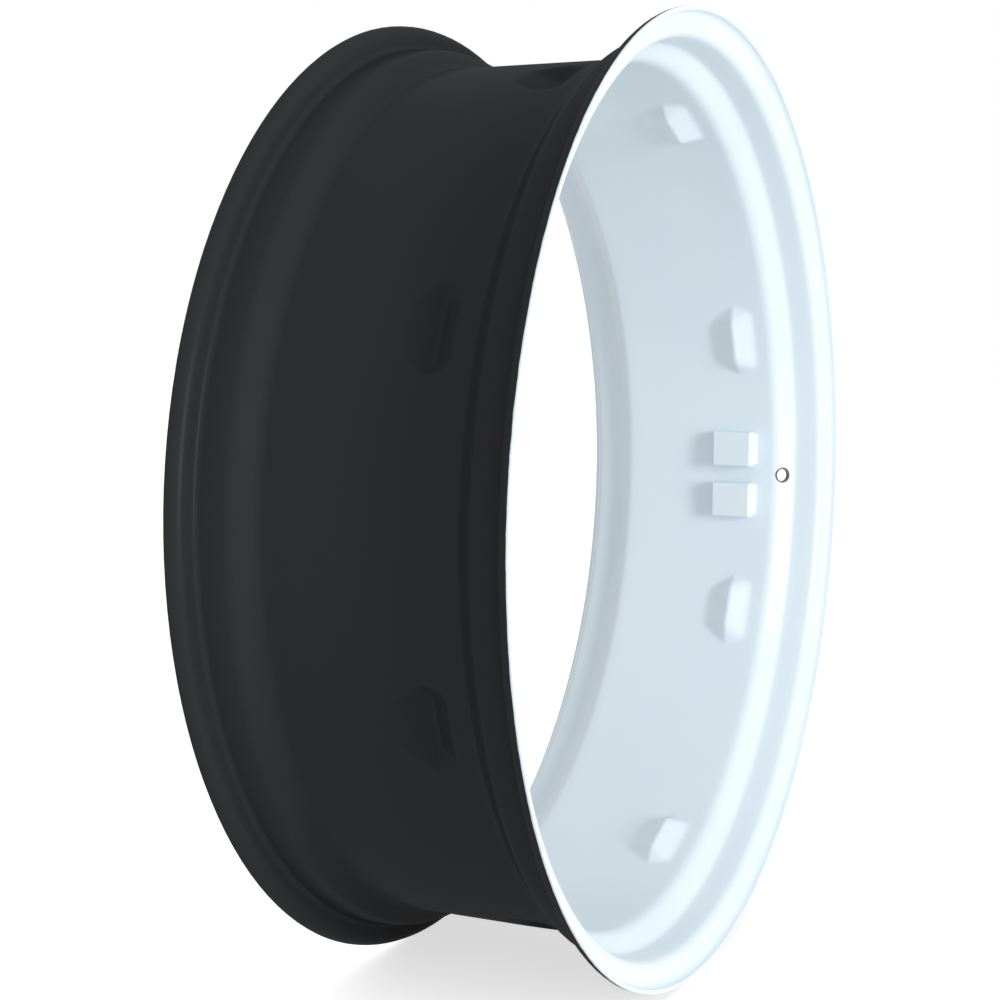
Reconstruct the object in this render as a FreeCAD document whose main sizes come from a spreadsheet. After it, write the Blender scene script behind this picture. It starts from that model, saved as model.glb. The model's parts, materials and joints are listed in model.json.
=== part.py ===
import FreeCAD, Part
import math
import os

import Sketcher
from FreeCAD import Placement, Rotation, Vector

# A demountable rear-tractor rim of the W12 x 38 class, standing upright.
# The axle line is Y, the front face looks along -Y and the valve line is +X. Lengths are mm, angles degrees.
DRIVING_SIZES = [
    ("nominal_diameter", 965.2, "bead seat diameter at the flange, a 38-inch rim"),
    ("nominal_width", 304.8, "width between the flanges, 12 inches"),
    ("flange_height", 25.4, "flange above the bead seat"),
    ("flange_overhang", 15.8, "lip beyond the flange's tyre face"),
    ("sheet_thickness", 5.0, "rolled steel section"),
    ("seat_taper", 5.0, "slope of the bead seat"),
    ("seat_length", 33.2, "bead seat, from the flange to the side of the well"),
    ("well_depth", 22.6, "well floor below the nominal bead seat"),
    ("slope_angle", 45.0, "side of the well"),
    ("heel_bend", 6.5, "inside radius of the bend where the bead's heel sits"),
    ("flange_bend", 14.0, "outside radius of the curled flange"),
    ("dimple_count", 8, "pressed wedge seats around the well"),
    ("dimple_rise", 14.0, "crest above the well's inner wall"),
    ("crest_offset", 56.0, "crest line, forward of the mid-plane"),
    ("crest_width", 5.0, "crest along the axle"),
    ("crest_front", 60.0, "length of the crest's front edge"),
    ("crest_belly", 68.0, "length of the crest at its middle"),
    ("crest_rear", 54.0, "length of the crest's rear edge"),
    ("front_run", 21.0, "front face of a dimple along the axle"),
    ("rear_run", 30.0, "rear face of a dimple along the axle"),
    ("foot_front", 78.0, "length of the front face's foot"),
    ("foot_belly", 92.0, "length of the foot beside the crest"),
    ("foot_rear", 48.0, "length of the rear face's foot"),
    ("valve_diameter", 15.9, "valve hole, 0.625 inch"),
    ("valve_climb", 7.5, "valve hole's centre above the well wall"),
    ("lug_length", 50.0, "drive lug along the axle"),
    ("lug_width", 44.0, "drive lug around the rim"),
    ("lug_height", 20.0, "drive lug above the well wall"),
    ("lug_gap", 22.0, "slot between the two lugs"),
    ("lug_setback", 72.5, "front face of the lugs, forward of the mid-plane"),
    ("lug_round", 2.0, "rounded edges of a lug's top"),
    ("weld_leg", 5.0, "leg of a fillet weld"),
    ("weld_length", 42.0, "length of a weld bead"),
    ("weld_end_taper", 2.0, "tapered ends of a weld bead"),
]
# A bend of the section is drawn as flats that touch its curve, and the flange's outside has the most of them
BEND_FLAT_COUNT = 1
CURL_FLAT_COUNT = 2
# edges are picked by where they lie
SAME_PLACE = 0.05

doc = FreeCAD.newDocument("tractor_rim")
sheet = doc.addObject("Spreadsheet::Sheet", "sizes")
for row, (alias, value, note) in enumerate(DRIVING_SIZES, start=1):
    sheet.set(f"A{row}", str(value))
    sheet.setAlias(f"A{row}", alias)
    sheet.set(f"B{row}", note)
doc.recompute()

SHEET = "sizes.sheet_thickness"
SEAT = "(sizes.nominal_diameter / 2)"
HALF_WIDTH = "(sizes.nominal_width / 2)"
TAPER = "(sizes.seat_taper * 1 deg)"
SLOPE = "(sizes.slope_angle * 1 deg)"
FLANGE_TOP = f"({SEAT} + sizes.flange_height)"
LIP_EDGE = f"({HALF_WIDTH} + sizes.flange_overhang)"
WELL_OUTER = f"({SEAT} - sizes.well_depth)"
WELL_INNER = f"({WELL_OUTER} - {SHEET})"
SEAT_DROP = f"(sizes.seat_length * tan({TAPER}))"
SLOPE_RUN = f"((sizes.well_depth - {SEAT_DROP}) / tan({SLOPE}))"
WELL_HALF = f"({HALF_WIDTH} - sizes.seat_length - {SLOPE_RUN})"
# the sheet's inner face leaves the well a little nearer the flange than its outer face does
INNER_HALF = f"({WELL_HALF} + {SHEET} * tan({SLOPE} / 2))"
HALF_PITCH = "(180 deg / sizes.dimple_count)"


def measure(rule):
    return float(sheet.evalExpression(rule))


def new_body(label):
    body = doc.addObject("PartDesign::Body", label)
    body.Label = label
    doc.recompute()
    return body


def origin_item(body, role):
    return next(item for item in body.Origin.OriginFeatures if item.Role == role)


def new_sketch(body, name, plane):
    sketch = body.newObject("Sketcher::SketchObject", name)
    sketch.AttachmentSupport = [(origin_item(body, plane), "")]
    sketch.MapMode = "FlatFace"
    return sketch


def bind(sketch, kind, *places, rule):
    index = sketch.addConstraint(Sketcher.Constraint(kind, *places, measure(rule)))
    sketch.setExpression(f"Constraints[{index}]", rule)


def closed_outline(sketch, corners):
    points = [Vector(measure(x_rule), measure(y_rule), 0) for x_rule, y_rule in corners]
    count = len(points)
    for line in range(count):
        sketch.addGeometry(Part.LineSegment(points[line], points[(line + 1) % count]), False)
    for line in range(count):
        sketch.addConstraint(Sketcher.Constraint("Coincident", line, 2, (line + 1) % count, 1))
    for line, (x_rule, y_rule) in enumerate(corners):
        bind(sketch, "DistanceX", -1, 1, line, 1, rule=x_rule)
        bind(sketch, "DistanceY", -1, 1, line, 1, rule=y_rule)


def bend(centre, radius, first, last, flats):
    centre_x, centre_y = centre
    turn = f"({last} - {first})"
    reach = f"({radius} / cos({turn} / {2 * flats + 2}))"
    corners = []
    for step in range(flats + 1):
        angle = f"({first} + {turn} * {2 * step + 1} / {2 * flats + 2})"
        corners.append((f"{centre_x} + {reach} * cos({angle})", f"{centre_y} + {reach} * sin({angle})"))
    return corners


def work_edges(body, kind, name, chosen, size_name, rule):
    base = body.Tip
    names = [f"Edge{i}" for i, edge in enumerate(base.Shape.Edges, start=1) if chosen(edge)]
    feature = body.newObject(kind, name)
    feature.Base = (base, names)
    feature.setExpression(size_name, rule)
    doc.recompute()
    return feature


# The rolled section, drawn from the mid-plane to the front lip: the tyre's side out, the wheel's side back
HEEL_CENTRE = (
    f"({SEAT} + sizes.heel_bend * (1 / cos({TAPER}) - tan({TAPER})))",
    f"(sizes.heel_bend - {HALF_WIDTH})",
)
CURL_CENTRE = (f"({FLANGE_TOP} - sizes.flange_bend)", f"(-{HALF_WIDTH} - sizes.flange_bend)")
SEAT_SIDE = f"(180 deg + {TAPER})"
WALL_SIDE = "270 deg"
CURL_WALL = "90 deg"
CURL_LIP = "0 deg"
SHOULDER_SHIFT = f"({SHEET} / cos(({SLOPE} - {TAPER}) / 2))"
SHOULDER_LEAN = f"(({SLOPE} + {TAPER}) / 2)"
tyre_side = [
    (WELL_OUTER, "0"),
    (WELL_OUTER, f"-{WELL_HALF}"),
    (f"{SEAT} - {SEAT_DROP}", f"sizes.seat_length - {HALF_WIDTH}"),
    *bend(HEEL_CENTRE, "sizes.heel_bend", SEAT_SIDE, WALL_SIDE, BEND_FLAT_COUNT),
    *bend(CURL_CENTRE, "sizes.flange_bend", CURL_WALL, CURL_LIP, CURL_FLAT_COUNT),
    (FLANGE_TOP, f"-{LIP_EDGE}"),
]
wheel_side = [
    (f"{FLANGE_TOP} - {SHEET}", f"-{LIP_EDGE}"),
    *bend(CURL_CENTRE, f"(sizes.flange_bend - {SHEET})", CURL_LIP, CURL_WALL, BEND_FLAT_COUNT),
    *bend(HEEL_CENTRE, f"(sizes.heel_bend + {SHEET})", WALL_SIDE, SEAT_SIDE, BEND_FLAT_COUNT),
    (
        f"{SEAT} - {SEAT_DROP} - {SHOULDER_SHIFT} * cos({SHOULDER_LEAN})",
        f"sizes.seat_length - {HALF_WIDTH} - {SHOULDER_SHIFT} * sin({SHOULDER_LEAN})",
    ),
    (WELL_INNER, f"-{INNER_HALF}"),
    (WELL_INNER, "0"),
]
rim = new_body("rim")
section = new_sketch(rim, "section", "XY_Plane")
closed_outline(section, tyre_side + wheel_side)
doc.recompute()

half_hoop = rim.newObject("PartDesign::Revolution", "half_hoop")
half_hoop.Profile = section
half_hoop.ReferenceAxis = (section, ["V_Axis"])
half_hoop.Angle = 360
doc.recompute()
hoop = rim.newObject("PartDesign::Mirrored", "hoop")
hoop.Originals = [half_hoop]
hoop.MirrorPlane = (origin_item(rim, "XZ_Plane"), [""])
rim.Tip = hoop
doc.recompute()


# One dimple, half a pitch from the valve line, pressed towards the axle
def dimple_outline(name, depth, front, rear, lengths):
    sketch = new_sketch(rim, name, "YZ_Plane")
    sketch.AttachmentOffset = Placement(Vector(0, 0, 0), Rotation(Vector(1, 0, 0), 0))
    sketch.setExpression("AttachmentOffset.Rotation.Angle", HALF_PITCH)
    sketch.setExpression("AttachmentOffset.Base.y", f"-{depth} * sin({HALF_PITCH})")
    sketch.setExpression("AttachmentOffset.Base.z", f"{depth} * cos({HALF_PITCH})")
    front_length, belly_length, rear_length = lengths
    belly = "-sizes.crest_offset"
    corners = [
        (front, f"-{front_length} / 2"), (front, f"{front_length} / 2"), (belly, f"{belly_length} / 2"),
        (rear, f"{rear_length} / 2"), (rear, f"-{rear_length} / 2"), (belly, f"-{belly_length} / 2"),
    ]
    closed_outline(sketch, corners)
    return sketch


FOOT_LENGTHS = ("sizes.foot_front", "sizes.foot_belly", "sizes.foot_rear")
CREST_LENGTHS = ("sizes.crest_front", "sizes.crest_belly", "sizes.crest_rear")
CREST_FRONT = "-(sizes.crest_offset + sizes.crest_width / 2)"
CREST_REAR = "-(sizes.crest_offset - sizes.crest_width / 2)"
FOOT_FRONT = f"({CREST_FRONT} - sizes.front_run)"
FOOT_REAR = f"({CREST_REAR} + sizes.rear_run)"
# the foot's flat outline lies within the curved sheet, at its middle and at its two ends
FOOT_DEPTH = f"({WELL_INNER} + {SHEET} / 4)"
CREST_DEPTH = f"({WELL_INNER} - sizes.dimple_rise)"


def dimple_form(kind, name, lift):
    foot = dimple_outline(f"{name}_foot", f"({FOOT_DEPTH} + {lift})", FOOT_FRONT, FOOT_REAR, FOOT_LENGTHS)
    crest = dimple_outline(
        f"{name}_crest", f"({CREST_DEPTH} + {lift})", CREST_FRONT, CREST_REAR, CREST_LENGTHS
    )
    doc.recompute()
    form = rim.newObject(kind, name)
    form.Profile = foot
    form.Sections = [crest]
    form.Ruled = True
    doc.recompute()
    return form


swelling = dimple_form("PartDesign::AdditiveLoft", "swelling", "0")
dent = dimple_form("PartDesign::SubtractiveLoft", "dent", SHEET)
dimples = rim.newObject("PartDesign::PolarPattern", "dimples")
dimples.Originals = [swelling, dent]
dimples.Axis = (section, ["V_Axis"])
dimples.Angle = 360
dimples.setExpression("Occurrences", "sizes.dimple_count")
rim.Tip = dimples
doc.recompute()

# The valve hole goes square through the front side of the well
VALVE_X = f"({WELL_INNER} + sizes.valve_climb)"
VALVE_Y = f"(-{INNER_HALF} - sizes.valve_climb / tan({SLOPE}))"
DRILL_REACH = f"(3 * {SHEET})"
VALVE_RADIUS = "(sizes.valve_diameter / 2)"
drill_corners = []
for along, across in ((1, 0), (-1, 0), (-1, 1), (1, 1)):
    x_rule = f"{VALVE_X} + {along} * {DRILL_REACH} * cos({SLOPE}) + {across} * {VALVE_RADIUS} * sin({SLOPE})"
    y_rule = f"{VALVE_Y} + {along} * {DRILL_REACH} * sin({SLOPE}) - {across} * {VALVE_RADIUS} * cos({SLOPE})"
    drill_corners.append((x_rule, y_rule))
drill = new_sketch(rim, "valve_drill", "XY_Plane")
closed_outline(drill, drill_corners)
doc.recompute()
valve_hole = rim.newObject("PartDesign::Groove", "valve_hole")
valve_hole.Profile = drill
valve_hole.ReferenceAxis = (drill, ["Edge1"])
valve_hole.Angle = 360
doc.recompute()


# Two drive lugs stand either side of the valve line, their feet curved to the well
def drive_lug(label, side):
    body = new_body(label)
    outline = new_sketch(body, f"{label}_outline", "XZ_Plane")
    outline.AttachmentOffset = Placement(Vector(0, 0, 0), Rotation())
    outline.setExpression("AttachmentOffset.Base.z", "sizes.lug_setback - sizes.lug_length")
    slot_rule = f"{side} * sizes.lug_gap / 2"
    outer_rule = f"{side} * (sizes.lug_gap / 2 + sizes.lug_width)"
    low_rule, high_rule = (slot_rule, outer_rule) if side > 0 else (outer_rule, slot_rule)
    top_rule = f"{WELL_INNER} - sizes.lug_height"
    low, high, top_x, radius = (measure(rule) for rule in (low_rule, high_rule, top_rule, WELL_INNER))
    low_angle = math.asin(low / radius)
    high_angle = math.asin(high / radius)
    high_foot = Vector(radius * math.cos(high_angle), high, 0)
    low_foot = Vector(radius * math.cos(low_angle), low, 0)
    high_top = Vector(top_x, high, 0)
    low_top = Vector(top_x, low, 0)
    well_circle = Part.Circle(Vector(0, 0, 0), Vector(0, 0, 1), radius)
    outline.addGeometry(Part.ArcOfCircle(well_circle, low_angle, high_angle), False)
    outline.addGeometry(Part.LineSegment(high_foot, high_top), False)
    outline.addGeometry(Part.LineSegment(high_top, low_top), False)
    outline.addGeometry(Part.LineSegment(low_top, low_foot), False)
    foot, high_side, top, low_side = range(4)
    outline.addConstraint(Sketcher.Constraint("Coincident", foot, 3, -1, 1))
    outline.addConstraint(Sketcher.Constraint("Coincident", foot, 2, high_side, 1))
    outline.addConstraint(Sketcher.Constraint("Coincident", high_side, 2, top, 1))
    outline.addConstraint(Sketcher.Constraint("Coincident", top, 2, low_side, 1))
    outline.addConstraint(Sketcher.Constraint("Coincident", low_side, 2, foot, 1))
    outline.addConstraint(Sketcher.Constraint("Horizontal", high_side))
    outline.addConstraint(Sketcher.Constraint("Horizontal", low_side))
    outline.addConstraint(Sketcher.Constraint("Vertical", top))
    bind(outline, "Radius", foot, rule=WELL_INNER)
    bind(outline, "DistanceX", -1, 1, top, 1, rule=top_rule)
    bind(outline, "DistanceY", -1, 1, top, 1, rule=high_rule)
    bind(outline, "DistanceY", -1, 1, top, 2, rule=low_rule)
    doc.recompute()
    block = body.newObject("PartDesign::Pad", f"{label}_block")
    block.Profile = outline
    block.setExpression("Length", "sizes.lug_length")
    doc.recompute()

    def on_top(edge):
        return all(abs(vertex.Point.x - top_x) < SAME_PLACE for vertex in edge.Vertexes)

    work_edges(body, "PartDesign::Fillet", f"{label}_edges", on_top, "Radius", "sizes.lug_round")
    return body


# A fillet weld closes the front and the rear foot of each lug
def weld_bead(label, side, end):
    body = new_body(label)
    face = "-sizes.lug_setback" if end < 0 else "(sizes.lug_length - sizes.lug_setback)"
    corners = [
        (WELL_INNER, face),
        (WELL_INNER, f"{face} + {end} * sizes.weld_leg"),
        (f"{WELL_INNER} - sizes.weld_leg", face),
    ]
    bead_section = new_sketch(body, f"{label}_section", "XY_Plane")
    closed_outline(bead_section, corners)
    doc.recompute()
    bead = body.newObject("PartDesign::Revolution", f"{label}_bead")
    bead.Profile = bead_section
    bead.ReferenceAxis = (bead_section, ["V_Axis"])
    bead.Midplane = True
    bead.setExpression("Angle", f"sizes.weld_length / {WELL_INNER} * 180 / pi")
    doc.recompute()

    def free_end(edge):
        rise = edge.Vertexes[0].Point - edge.Vertexes[-1].Point
        return isinstance(edge.Curve, Part.Line) and min(abs(rise.x), abs(rise.y)) > SAME_PLACE

    work_edges(body, "PartDesign::Chamfer", f"{label}_ends", free_end, "Size", "sizes.weld_end_taper")
    body.Placement = Placement(Vector(0, 0, 0), Rotation(Vector(0, 1, 0), 0))
    turn = f"asin((sizes.lug_gap + sizes.lug_width) / 2 / {WELL_INNER})"
    body.setExpression("Placement.Rotation.Angle", f"{-side} * {turn}")
    doc.recompute()
    return body


bodies = [rim]
for place, side in (("upper", 1), ("lower", -1)):
    bodies.append(drive_lug(f"{place}_drive_lug", side))
    bodies.append(weld_bead(f"{place}_front_weld", side, -1))
    bodies.append(weld_bead(f"{place}_rear_weld", side, 1))
doc.recompute()

for item in doc.Objects:
    if "Invalid" in item.State or "Error" in item.State:
        raise ValueError(f"{item.Label}: {item.State}")
os.makedirs("parts", exist_ok=True)
for body in bodies:
    if body.Shape.isNull() or not body.Shape.isValid():
        raise ValueError(f"{body.Label} has no valid solid")
    body.Shape.exportStep(f"parts/{body.Label}.step")
    print(body.Label, round(body.Shape.Volume), "mm3", len(body.Shape.Solids), "solid")
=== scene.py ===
import json
import math

import bpy
from mathutils import Matrix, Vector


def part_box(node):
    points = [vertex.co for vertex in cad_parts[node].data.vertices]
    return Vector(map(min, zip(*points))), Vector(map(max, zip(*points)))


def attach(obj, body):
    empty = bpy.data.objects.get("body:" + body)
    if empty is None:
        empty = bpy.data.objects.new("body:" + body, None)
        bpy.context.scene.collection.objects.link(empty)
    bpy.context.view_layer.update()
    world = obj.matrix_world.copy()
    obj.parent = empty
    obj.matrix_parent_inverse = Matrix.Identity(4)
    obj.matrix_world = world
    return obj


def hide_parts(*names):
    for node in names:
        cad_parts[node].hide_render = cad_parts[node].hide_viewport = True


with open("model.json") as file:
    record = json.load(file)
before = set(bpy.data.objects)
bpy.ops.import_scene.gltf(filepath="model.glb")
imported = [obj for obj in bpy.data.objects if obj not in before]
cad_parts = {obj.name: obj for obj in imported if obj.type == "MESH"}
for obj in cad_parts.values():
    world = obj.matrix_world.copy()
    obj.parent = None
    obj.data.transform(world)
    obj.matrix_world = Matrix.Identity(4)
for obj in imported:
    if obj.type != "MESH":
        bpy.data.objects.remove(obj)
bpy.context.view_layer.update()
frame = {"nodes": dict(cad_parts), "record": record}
print("rim frame loaded:", ", ".join(sorted(frame["nodes"])))


class Wire:
    # a socket of a node tree: sums on wires add Math nodes, node() adds anything else
    def __init__(self, tree, socket=None):
        self.tree = tree
        self.socket = socket

    def node(self, kind, settings=None, inputs=None, output=0):
        made = self.tree.nodes.new(kind)
        for name, value in (settings or {}).items():
            if name == "choices":  # an Index Switch starts with two
                for _ in range(value - 2):
                    made.index_switch_items.new()
            else:
                setattr(made, name, value)
        for key, value in (inputs or {}).items():
            if isinstance(value, Wire):
                self.tree.links.new(value.socket, made.inputs[key])
            else:
                made.inputs[key].default_value = value
        return Wire(self.tree, made.outputs[output] if made.outputs else None)

    def port(self, name):
        return Wire(self.tree, self.socket.node.outputs[name])

    def math(self, operation, *others):
        return self.node("ShaderNodeMath", {"operation": operation}, dict(enumerate((self, *others))))

    def behind(self, operation, first):
        return self.node("ShaderNodeMath", {"operation": operation}, {0: first, 1: self})

    def __add__(self, other):
        return self.math("ADD", other)

    def __radd__(self, other):
        return self.behind("ADD", other)

    def __sub__(self, other):
        return self.math("SUBTRACT", other)

    def __rsub__(self, other):
        return self.behind("SUBTRACT", other)

    def __mul__(self, other):
        return self.math("MULTIPLY", other)

    def __rmul__(self, other):
        return self.behind("MULTIPLY", other)

    def __truediv__(self, other):
        return self.math("DIVIDE", other)

    def __rtruediv__(self, other):
        return self.behind("DIVIDE", other)

    def __mod__(self, other):
        return self.math("FLOORED_MODULO", other)

    def __neg__(self):
        return self.behind("SUBTRACT", 0.0)

    def __abs__(self):
        return self.math("ABSOLUTE")


def blendColour(ink, amount, first, second):
    mixed = {0: amount, 6: first, 7: second}
    return ink.node("ShaderNodeMix", {"data_type": "RGBA"}, mixed, output=2)


def easedStep(ink, value, low, high):
    ends = {"Value": value, "From Min": low, "From Max": high}
    return ink.node("ShaderNodeMapRange", {"interpolation_type": "SMOOTHSTEP"}, ends)


def vectorMath(ink, operation, *vectors):
    return ink.node("ShaderNodeVectorMath", {"operation": operation}, dict(enumerate(vectors)))


def stored(ink, geometry, name, value, kind="FLOAT"):
    return ink.node(
        "GeometryNodeStoreNamedAttribute", {"data_type": kind, "domain": "POINT"},
        {"Geometry": geometry, "Name": name, "Value": value},
    )


def recalled(ink, name, kind="FLOAT"):
    return ink.node("GeometryNodeInputNamedAttribute", {"data_type": kind}, {"Name": name})


def pointCount(ink, curve):
    counted = ink.node("GeometryNodeAttributeDomainSize", {"component": "CURVE"}, {"Geometry": curve})
    return counted.port("Point Count")


sharpFold = math.radians(40)  # edges folded further stay sharp


def shadedSmooth(ink, mesh):
    fold = ink.node("GeometryNodeInputMeshEdgeAngle").port("Unsigned Angle")
    smooth = ink.node(
        "GeometryNodeSetShadeSmooth", {"domain": "FACE"}, {"Geometry": mesh, "Shade Smooth": True}
    )
    return ink.node(
        "GeometryNodeSetShadeSmooth", {"domain": "EDGE"},
        {"Geometry": smooth, "Shade Smooth": fold.math("LESS_THAN", sharpFold)},
    )


def nodesPiece(name, sizes, layout, material):
    tree = bpy.data.node_groups.new(name, "GeometryNodeTree")
    tree.interface.new_socket("Geometry", in_out="OUTPUT", socket_type="NodeSocketGeometry")
    doors = {}
    for label, value in sizes.items():
        kind = "NodeSocketInt" if isinstance(value, int) else "NodeSocketFloat"
        doors[label] = tree.interface.new_socket(label, in_out="INPUT", socket_type=kind)
    ink = Wire(tree)
    entry = ink.node("NodeGroupInput")
    shape = layout(ink, {label: entry.port(label) for label in sizes})
    whole = ink.node("GeometryNodeRealizeInstances", {}, {"Geometry": shape})
    painted = ink.node("GeometryNodeSetMaterial", {}, {"Geometry": whole, "Material": material})
    ink.node("NodeGroupOutput", {}, {"Geometry": painted})
    piece = bpy.data.objects.new(name, bpy.data.meshes.new(name))
    bpy.context.scene.collection.objects.link(piece)
    modifier = piece.modifiers.new(name, "NODES")
    modifier.node_group = tree
    for label, value in sizes.items():
        modifier[doors[label].identifier] = value
    shaped = piece.evaluated_get(bpy.context.evaluated_depsgraph_get())
    mesh = bpy.data.meshes.new_from_object(shaped)
    piece.modifiers.remove(modifier)
    piece.data = mesh
    mesh.name = name
    mesh.calc_loop_triangles()
    print(name, "made:", len(mesh.vertices), "points,", len(mesh.loop_triangles), "triangles")
    return piece


paintLook = {
    "whiteThin": (0.79, 0.89, 0.955, 1),
    "whiteFull": (0.81, 0.905, 0.965, 1),
    "whiteRoughness": 0.32,
    "whiteUneven": 0.1,  # how far the roughness varies
    "black": (0.0303, 0.0316, 0.0347, 1),
    "blackRoughness": 0.6,
    "blackUneven": 0.2,
    "blackSpecular": 0.0,
    "blackCoat": 0.08,
    "blackCoatRoughness": 0.32,
    "bareSteelAndShade": (0.03, 0.03, 0.032, 1),
    "bareAndShadeEdge": 0.0026,  # scraped bare round the valve hole, with painted shade on the hole's wall, metres
    "bareAndShadeFull": 0.0016,
    "bareAndShadeWobble": 0.001,
    "cloud": {"Scale": 7.0, "Detail": 2.0},  # scales are per metre
    "grain": {"Scale": 60.0, "Detail": 2.0},
    "peel": {"Scale": 240.0, "Detail": 1.0},  # orange peel
    "cloudLow": 0.35,
    "cloudHigh": 0.65,
    "peelBump": 0.03,
    "peelHeight": 0.001,
    "edgeWobble": 0.22,
    "edgeLow": 0.47,  # black below, white above
    "edgeHigh": 0.53,
}


def valveDistance(ink, spot):
    valve = next(mount for mount in frame["record"]["mounts"] if mount["name"] == "valve_hole")
    away = vectorMath(ink, "SUBTRACT", spot, valve["pos_m"])
    aside = vectorMath(ink, "CROSS_PRODUCT", away, valve["axis"])
    return vectorMath(ink, "LENGTH", aside).port("Value") - valve["dims"]["r_mm"] / 1000


def paintMaterial(name, twoSided):
    material = bpy.data.materials.new(name)
    material.use_nodes = True
    material.node_tree.nodes.clear()
    ink = Wire(material.node_tree)
    spot = ink.node("ShaderNodeTexCoord").port("Object")

    def noise(grade):
        return ink.node("ShaderNodeTexNoise", {}, {"Vector": spot, **paintLook[grade]})

    cloud = noise("cloud")
    uneven = noise("grain") - 0.5
    peel = noise("peel")
    bump = ink.node(
        "ShaderNodeBump", {},
        {"Strength": paintLook["peelBump"], "Distance": paintLook["peelHeight"], "Height": peel},
    )
    cover = easedStep(ink, cloud, paintLook["cloudLow"], paintLook["cloudHigh"])
    white = blendColour(ink, cover, paintLook["whiteThin"], paintLook["whiteFull"])
    # the valve hole's wall and a thin ring round it are painted dark: partly scraped bare steel, partly
    # painted shade of the hole's wall
    if twoSided:
        ring = valveDistance(ink, spot) + (peel - 0.5) * paintLook["bareAndShadeWobble"]
        scrapedAndShaded = easedStep(ink, ring, paintLook["bareAndShadeEdge"], paintLook["bareAndShadeFull"])
        white = blendColour(ink, scrapedAndShaded, white, paintLook["bareSteelAndShade"])
    surface = ink.node(
        "ShaderNodeBsdfPrincipled", {},
        {
            "Base Color": white,
            "Roughness": paintLook["whiteRoughness"] + uneven * paintLook["whiteUneven"],
            "Normal": bump,
        },
    )
    if twoSided:
        black = ink.node(
            "ShaderNodeBsdfPrincipled", {},
            {
                "Base Color": paintLook["black"],
                "Roughness": paintLook["blackRoughness"] + uneven * paintLook["blackUneven"],
                "Specular IOR Level": paintLook["blackSpecular"],
                "Coat Weight": paintLook["blackCoat"],
                "Coat Roughness": paintLook["blackCoatRoughness"],
                "Normal": bump,
            },
        )
        side = ink.node("ShaderNodeAttribute", {"attribute_name": "paintSide"}).port("Fac")
        side = side + uneven * paintLook["edgeWobble"]
        mask = easedStep(ink, side, paintLook["edgeLow"], paintLook["edgeHigh"])
        surface = ink.node("ShaderNodeMixShader", {}, {0: mask, 1: black, 2: surface})
    ink.node("ShaderNodeOutputMaterial", {}, {"Surface": surface})
    return material


rimPaint = paintMaterial("rimTwoTonePaint", True)
lugPaint = paintMaterial("lugWhitePaint", False)
print("paints mixed")

rimSizes = {  # metres, degrees, shares and counts
    "Seat radius": 0.4826,
    "Half width": 0.1524,
    "Flange height": 0.0252,
    "Lip": 0.0158,
    "Sheet": 0.005,
    "Seat taper": 5.0,
    "Seat length": 0.0332,
    "Well depth": 0.0226,
    "Slope": 45.0,
    "Heel bend": 0.0065,
    "Flange bend": 0.014,
    "Well bend": 0.014,
    "Shoulder bend": 0.011,
    "Edge round": 0.0014,
    "Edge steps": 2,
    "Flange steps": 6,
    "Well steps": 4,
    "White wrap": 0.0019,
    "Spray blend": 0.002,
    "Dimples": 8,
    "Dimple rise": 0.014,
    "Crest share": 0.94,
    "Front foot": -0.0795,
    "Front run": 0.021,
    "Rear foot": -0.0235,
    "Rear run": 0.030,
    "Belly line": -0.056,
    "Front half": 0.039,
    "Belly half": 0.046,
    "Rear half": 0.024,
    "End run": 0.018,
    "Ridge softness": 0.2,
    "End softness": 0.7,
    "Foot softness": 0.3,
    "Valve radius": 0.00795,
    "Valve climb": 0.0075,
    "Drill depth": 0.03,
    "Drill sides": 48,
    "Fine step": 0.0024,
    "Coarse step": 0.0095,
    "Fine margin": 0.4,  # of a dimple's run, past its foot
    "Belly margin": 0.005,
    "Steps on a dimple": 38,
    "Steps between": 13,
    "Merge distance": 0.00002,
}


def rimGuide(size):
    # the lines that the section and the valve hole are both drawn from
    taper = size["Seat taper"] * (math.pi / 180)
    slope = size["Slope"] * (math.pi / 180)
    drop = size["Seat length"] * taper.math("TANGENT")
    shoulder = size["Half width"] - size["Seat length"]
    foot = shoulder - (size["Well depth"] - drop) / slope.math("TANGENT")
    return {
        "taper": taper,
        "slope": slope,
        "drop": drop,
        "shoulder": shoulder,
        "foot": foot,
        "innerFoot": foot + size["Sheet"] * (slope / 2).math("TANGENT"),
        "well": size["Seat radius"] - size["Well depth"],
        "lipEnd": size["Half width"] + size["Lip"],
    }


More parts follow.
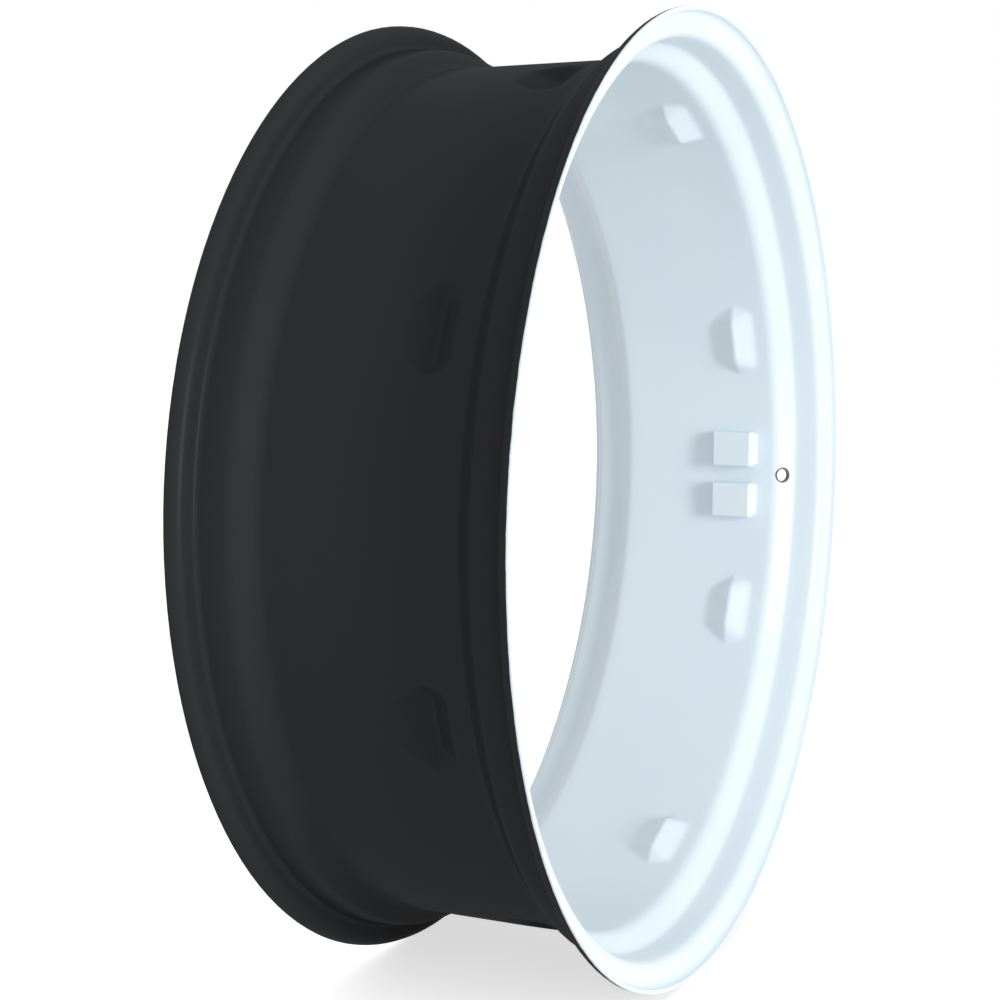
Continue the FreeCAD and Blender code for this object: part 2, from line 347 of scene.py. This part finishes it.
def rimSection(ink, size, guide):
    taper, slope, drop = guide["taper"], guide["slope"], guide["drop"]
    shoulder, well, lipEnd = guide["shoulder"], guide["well"], guide["lipEnd"]
    seat, half, sheet = size["Seat radius"], size["Half width"], size["Sheet"]
    flange = seat + size["Flange height"]
    mean = (slope + taper) / 2
    spread = ((slope - taper) / 2).math("COSINE")
    heelShift = (math.pi / 4 - taper / 2).math("TANGENT")
    innerShoulder = seat - drop - sheet * mean.math("COSINE") / spread
    lipRound = (size["Edge round"], size["Edge steps"])
    tyreSide = [  # radius, distance from the mid-plane, bend, arc steps
        (flange, lipEnd, *lipRound),
        (flange, half, size["Flange bend"], size["Flange steps"]),
        (seat, half, size["Heel bend"], size["Flange steps"]),
        (seat - drop, shoulder, size["Shoulder bend"] + sheet, size["Well steps"]),
        (well, guide["foot"], size["Well bend"], size["Well steps"]),
    ]
    wheelSide = [
        (flange - sheet, lipEnd, *lipRound),
        (flange - sheet, half + sheet, size["Flange bend"] - sheet, size["Flange steps"]),
        (seat - sheet * heelShift, half + sheet, size["Heel bend"] + sheet, size["Flange steps"]),
        (
            innerShoulder, shoulder + sheet * mean.math("SINE") / spread,
            size["Shoulder bend"], size["Well steps"],
        ),
        (well - sheet, guide["innerFoot"], size["Well bend"] + sheet, size["Well steps"]),
    ]
    bandFront = size["Front foot"] - size["Front run"] * size["Fine margin"]
    bandRear = size["Rear foot"] + size["Rear run"] * size["Fine margin"]
    black, white = 0.0, 1.0
    straight = (0.0, 1)  # no bend, one step
    corners = []  # radius, place along the axle, bend, arc steps, paint
    for radius, across, bend, steps in tyreSide:
        corners.append((radius, across, bend, steps, black))
    corners.append((well, bandRear, *straight, black))
    corners.append((well, bandFront, *straight, black))
    for radius, across, bend, steps in reversed(tyreSide[1:]):
        corners.append((radius, -across, bend, steps, black))
    corners.append((flange, -lipEnd, *lipRound, white))
    for radius, across, bend, steps in wheelSide:
        corners.append((radius, -across, bend, steps, white))
    corners.append((well - sheet, bandFront, *straight, white))
    corners.append((well - sheet, bandRear, *straight, white))
    for radius, across, bend, steps in reversed(wheelSide):
        corners.append((radius, across, bend, steps, white))
    radii, places, bends, arcSteps, paints = zip(*corners)

    index = ink.node("GeometryNodeInputIndex")

    def perCorner(kind, values):
        choices = {"data_type": kind, "choices": len(values)}
        inputs = {0: index, **dict(enumerate(values, start=1))}
        return ink.node("GeometryNodeIndexSwitch", choices, inputs)

    spots = []
    for radius, across in zip(radii, places):
        spots.append(ink.node("ShaderNodeCombineXYZ", {}, {"X": radius, "Y": across}))
    spot = perCorner("VECTOR", spots)
    line = ink.node("GeometryNodeMeshLine", {"mode": "OFFSET"}, {"Count": len(corners)})
    line = ink.node("GeometryNodeSetPosition", {}, {"Geometry": line, "Position": spot})
    line = stored(ink, line, "bend", perCorner("FLOAT", bends))
    line = stored(ink, line, "paintSide", perCorner("FLOAT", paints))
    line = stored(ink, line, "arcSteps", perCorner("INT", arcSteps), "INT")
    curve = ink.node("GeometryNodeMeshToCurve", {}, {"Mesh": line})
    curve = ink.node("GeometryNodeSetSplineCyclic", {}, {"Geometry": curve, "Cyclic": True})
    curve = ink.node(
        "GeometryNodeFilletCurve", {"mode": "POLY"},
        {"Curve": curve, "Count": recalled(ink, "arcSteps", "INT"), "Radius": recalled(ink, "bend")},
    )
    # long straights are divided, most finely where the dimples are pressed
    here = ink.node("GeometryNodeInputPosition")
    ahead = ink.node(
        "GeometryNodeFieldAtIndex", {"data_type": "FLOAT_VECTOR", "domain": "POINT"},
        {"Index": (index + 1) % pointCount(ink, curve), "Value": here},
    )
    run = vectorMath(ink, "DISTANCE", here, ahead).port("Value")
    middle = vectorMath(ink, "ADD", here, ahead)
    middle = ink.node("ShaderNodeSeparateXYZ", {}, {"Vector": middle}).port("Y") / 2
    inBand = middle.math("GREATER_THAN", bandFront) * middle.math("LESS_THAN", bandRear)
    step = size["Coarse step"] + (size["Fine step"] - size["Coarse step"]) * inBand
    cuts = (run / step).math("FLOOR")
    return ink.node("GeometryNodeSubdivideCurve", {}, {"Curve": curve, "Cuts": cuts})


def dimpleRise(size, across, along):
    # a pressed ridge: front and rear faces, ends that follow its outline, soft feet
    front = (across - size["Front foot"]) / size["Front run"]
    rear = (size["Rear foot"] - across) / size["Rear run"]
    ridge = front.math("SMOOTH_MIN", rear, size["Ridge softness"])
    past = across - size["Belly line"]
    narrowFront = past.math("MINIMUM", 0.0) / (size["Belly line"] - size["Front foot"])
    narrowRear = past.math("MAXIMUM", 0.0) / (size["Rear foot"] - size["Belly line"])
    half = size["Belly half"] + narrowFront * (size["Belly half"] - size["Front half"])
    half = half - narrowRear * (size["Belly half"] - size["Rear half"])
    end = (half - abs(along)) / size["End run"]
    roof = ridge.math("SMOOTH_MIN", end, size["End softness"])
    crest = size["Dimple rise"] * size["Crest share"]
    return roof.math("SMOOTH_MAX", 0.0, size["Foot softness"]) * crest


def rimLayout(ink, size):
    guide = rimGuide(size)
    section = rimSection(ink, size, guide)
    count = pointCount(ink, section)
    pitchSteps = size["Steps on a dimple"] + size["Steps between"]
    pitch = 2 * math.pi / size["Dimples"]
    reach = (size["Belly half"] + size["Belly margin"]) / guide["well"]
    net = ink.node(
        "GeometryNodeMeshGrid", {},
        {"Vertices X": pitchSteps * size["Dimples"] + 1, "Vertices Y": count + 1},
    )
    index = ink.node("GeometryNodeInputIndex")
    point = index % (count + 1) % count
    column = (index / (count + 1)).math("FLOOR")
    sector = (column / pitchSteps).math("FLOOR")
    stepIn = column % pitchSteps
    onDimple = stepIn.math("MINIMUM", size["Steps on a dimple"]) / size["Steps on a dimple"]
    between = (stepIn - size["Steps on a dimple"]).math("MAXIMUM", 0.0) / size["Steps between"]
    swing = reach * (2 * onDimple - 1) + (pitch - reach * 2) * between
    centre = (sector + 0.5) * pitch
    angle = centre + swing

    def sampled(kind, value):
        return ink.node(
            "GeometryNodeSampleIndex", {"data_type": kind, "domain": "POINT"},
            {"Geometry": section, "Value": value, "Index": point},
        )

    spot = sampled("FLOAT_VECTOR", ink.node("GeometryNodeInputPosition"))
    apart = ink.node("ShaderNodeSeparateXYZ", {}, {"Vector": spot})
    radius, across = apart.port("X"), apart.port("Y")
    # the white was sprayed from the front and goes a little round the lip
    sprayed = (size["White wrap"] - guide["lipEnd"] - across) / size["Spray blend"] + 0.5
    paint = sampled("FLOAT", recalled(ink, "paintSide"))
    paint = sprayed.math("MINIMUM", 1.0).math("MAXIMUM", paint)
    lift = dimpleRise(size, across, radius * swing.math("SINE"))
    place = ink.node(
        "ShaderNodeCombineXYZ", {},
        {
            "X": radius * angle.math("COSINE") - lift * centre.math("COSINE"),
            "Y": across,
            "Z": radius * angle.math("SINE") - lift * centre.math("SINE"),
        },
    )
    hoop = ink.node("GeometryNodeSetPosition", {}, {"Geometry": net, "Position": place})
    hoop = stored(ink, hoop, "paintSide", paint)
    hoop = ink.node(
        "GeometryNodeMergeByDistance", {}, {"Geometry": hoop, "Distance": size["Merge distance"]}
    )
    # the valve hole goes square through the front slope
    slope = guide["slope"]
    hole = ink.node(
        "ShaderNodeCombineXYZ", {},
        {
            "X": guide["well"] - size["Sheet"] + size["Valve climb"],
            "Y": -(guide["innerFoot"] + size["Valve climb"] / slope.math("TANGENT")),
        },
    )
    drill = ink.node(
        "GeometryNodeMeshCylinder", {},
        {"Vertices": size["Drill sides"], "Radius": size["Valve radius"], "Depth": size["Drill depth"]},
    )
    turn = ink.node("ShaderNodeCombineXYZ", {}, {"Y": math.pi / 2, "Z": slope})
    drill = ink.node(
        "GeometryNodeTransform", {}, {"Geometry": drill, "Translation": hole, "Rotation": turn}
    )
    drilled = ink.node(
        "GeometryNodeMeshBoolean", {"operation": "DIFFERENCE", "solver": "EXACT"},
        {"Mesh 1": hoop, "Mesh 2": drill},
    )
    nearPaint = ink.node(
        "GeometryNodeSampleNearestSurface", {"data_type": "FLOAT"},
        {"Mesh": hoop, "Value": recalled(ink, "paintSide")},
    )
    return shadedSmooth(ink, stored(ink, drilled, "paintSide", nearPaint))


rimShell = nodesPiece("rimShell", rimSizes, rimLayout, rimPaint)
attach(rimShell, "root")
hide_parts("rim")

beadSizes = {  # metres, shares and counts
    "Well radius": 0.455,
    "Lug middle": 0.033,
    "Leg": 0.005,
    "Length": 0.042,
    "End taper": 0.003,
    "Fullness": 0.3,
    "Ripple pitch": 0.0032,
    "Ripple depth": 0.0005,
    "Ripple bow": 1.6,
    "Ripple sharpness": 3.0,
    "Faintest ripple": 0.4,
    "Fullest ripple": 1.0,
    "Steps along": 96,
    "Steps across": 10,
    "Merge distance": 0.000005,
}


def beadLayout(ink, size):
    # rows run over the bead from the well to the lug, then back through the corner
    rows = size["Steps across"] + 3
    net = ink.node(
        "GeometryNodeMeshGrid", {}, {"Vertices X": size["Steps along"] + 1, "Vertices Y": rows}
    )
    index = ink.node("GeometryNodeInputIndex")
    row = index % rows
    column = (index / rows).math("FLOOR")
    rowSlack = 0.1  # row numbers are whole
    atCorner = row.math("COMPARE", size["Steps across"] + 1, rowSlack)
    climb = row % (size["Steps across"] + 2) / size["Steps across"]
    lean = climb.math("MINIMUM", 1.0) * (math.pi / 2)
    along = (column / size["Steps along"] - 0.5) * size["Length"]
    toEnd = ((size["Length"] / 2 - abs(along)) / size["End taper"]).math("MINIMUM", 1.0)
    plump = (1 - (1 - toEnd) * (1 - toEnd)).math("SQRT")
    flat = 1 / (lean.math("SINE") + lean.math("COSINE"))
    bow = (climb - 0.5) * (climb - 0.5) * size["Ripple bow"]
    phase = along / size["Ripple pitch"] + bow
    ripple = ink.node(
        "FunctionNodeRandomValue", {"data_type": "FLOAT"},
        {
            "Min": size["Faintest ripple"],
            "Max": size["Fullest ripple"],
            "ID": phase.math("FLOOR"),
            "Seed": size["Seed"],
        },
        output=1,
    )
    groove = abs((phase * math.pi).math("COSINE")).math("POWER", size["Ripple sharpness"])
    groove = groove * ripple * size["Ripple depth"] * (climb * math.pi).math("SINE")
    reach = (flat + (1 - flat) * size["Fullness"]) * size["Leg"] - groove
    reach = reach * plump * (1 - atCorner)
    middle = (size["Lug middle"] / size["Well radius"]).math("ARCSINE") * size["Side"]
    angle = middle + along / size["Well radius"]
    radius = size["Well radius"] - reach * lean.math("SINE")
    place = ink.node(
        "ShaderNodeCombineXYZ", {},
        {
            "X": radius * angle.math("COSINE"),
            "Y": size["Lug face"] + size["End"] * reach * lean.math("COSINE"),
            "Z": radius * angle.math("SINE"),
        },
    )
    bead = ink.node("GeometryNodeSetPosition", {}, {"Geometry": net, "Position": place})
    bead = ink.node(
        "GeometryNodeMergeByDistance", {}, {"Geometry": bead, "Distance": size["Merge distance"]}
    )
    atRear = size["End"].math("GREATER_THAN", 0.0)
    outwards = ink.node("GeometryNodeFlipFaces", {}, {"Mesh": bead, "Selection": atRear})
    return shadedSmooth(ink, outwards)


beadPlaces = [  # lug, its side of the valve line, its end: -1 front, 1 rear
    ("upper", 1.0, -1.0),
    ("upper", 1.0, 1.0),
    ("lower", -1.0, -1.0),
    ("lower", -1.0, 1.0),
]
for seed, (place, side, end) in enumerate(beadPlaces, start=1):
    lugFront, lugRear = (corner.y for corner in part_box(f"{place}_drive_lug"))
    edge, lugFace = ("front", lugFront) if end < 0 else ("rear", lugRear)
    sizes = {**beadSizes, "Side": side, "End": end, "Lug face": lugFace, "Seed": seed}
    bead = nodesPiece(f"{place}{edge.title()}Bead", sizes, beadLayout, lugPaint)
    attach(bead, "root")
    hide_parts(f"{place}_{edge}_weld")

for name in ("upper_drive_lug", "lower_drive_lug"):
    mesh = frame["nodes"][name].data
    mesh.materials.clear()
    mesh.materials.append(lugPaint)
print("lugs painted")

studio = {
    "floorHeight": -0.508,
    "floorReach": 40.0,
    "floorShade": (0.8, 0.8, 0.8, 1),
    "floorGlow": 0.66,
    "skyShade": (1, 1, 1, 1),
    "ambient": 0.62,
    "keyPlace": (-1.7, -4.4, 0.6),
    "keySize": (1.1, 1.8),
    "keyPower": 123.0,
}


def backdropRays(ink):
    path = ink.node("ShaderNodeLightPath")
    seen = path.port("Is Camera Ray").math("MAXIMUM", path.port("Is Glossy Ray"))
    return seen.math("MAXIMUM", path.port("Is Transmission Ray"))


def floorMaterial():
    material = bpy.data.materials.new("paleFloor")
    material.use_nodes = True
    material.node_tree.nodes.clear()
    ink = Wire(material.node_tree)
    flat = ink.node("ShaderNodeBsdfDiffuse", {}, {"Color": studio["floorShade"]})
    glow = ink.node("ShaderNodeEmission", {}, {"Strength": backdropRays(ink) * studio["floorGlow"]})
    both = ink.node("ShaderNodeAddShader", {}, {0: flat, 1: glow})
    ink.node("ShaderNodeOutputMaterial", {}, {"Surface": both})
    return material


floorMesh = bpy.data.meshes.new("floor")
reach = studio["floorReach"]
corners = [(-reach, -reach), (reach, -reach), (reach, reach), (-reach, reach)]
floorMesh.from_pydata([(x, y, studio["floorHeight"]) for x, y in corners], [], [(0, 1, 2, 3)])
floorMesh.materials.append(floorMaterial())
floor = bpy.data.objects.new("floor", floorMesh)
bpy.context.scene.collection.objects.link(floor)

world = bpy.data.worlds.new("studioWorld")
world.use_nodes = True
world.node_tree.nodes.clear()
bpy.context.scene.world = world
sky = Wire(world.node_tree)
skyLevel = studio["ambient"] + (1 - studio["ambient"]) * backdropRays(sky)
skyGlow = sky.node("ShaderNodeBackground", {}, {"Color": studio["skyShade"], "Strength": skyLevel})
sky.node("ShaderNodeOutputWorld", {}, {"Surface": skyGlow})

key = bpy.data.lights.new("keyLamp", "AREA")
key.shape = "RECTANGLE"
key.size, key.size_y = studio["keySize"]
key.energy = studio["keyPower"]
keyHolder = bpy.data.objects.new("keyLamp", key)
bpy.context.scene.collection.objects.link(keyHolder)
keyHolder.location = studio["keyPlace"]
keyHolder.rotation_euler = (-keyHolder.location).to_track_quat("-Z", "Y").to_euler()
print("floor and lamp set")

viewpoint = {
    "place": (-1.83124, -0.78242, 0.15783),
    "right": (0.42622445, -0.90452878, 0.01266532),
    "up": (0.06824135, 0.04611066, 0.99660269),
    "back": (-0.90203982, -0.42391214, 0.08137976),
    "lens": 65.707,
    "sensor": 36.0,
    "shift": -0.0015,
}
cameraData = bpy.data.cameras.new("photoCamera")
cameraData.lens = viewpoint["lens"]
cameraData.shift_y = viewpoint["shift"]
cameraData.sensor_width = viewpoint["sensor"]
camera = bpy.data.objects.new("photoCamera", cameraData)
bpy.context.scene.collection.objects.link(camera)
turned = Matrix((viewpoint["right"], viewpoint["up"], viewpoint["back"])).transposed()
camera.matrix_world = Matrix.Translation(viewpoint["place"]) @ turned.to_4x4()
bpy.context.scene.camera = camera
bpy.context.scene.view_settings.view_transform = "Standard"
print("camera placed")
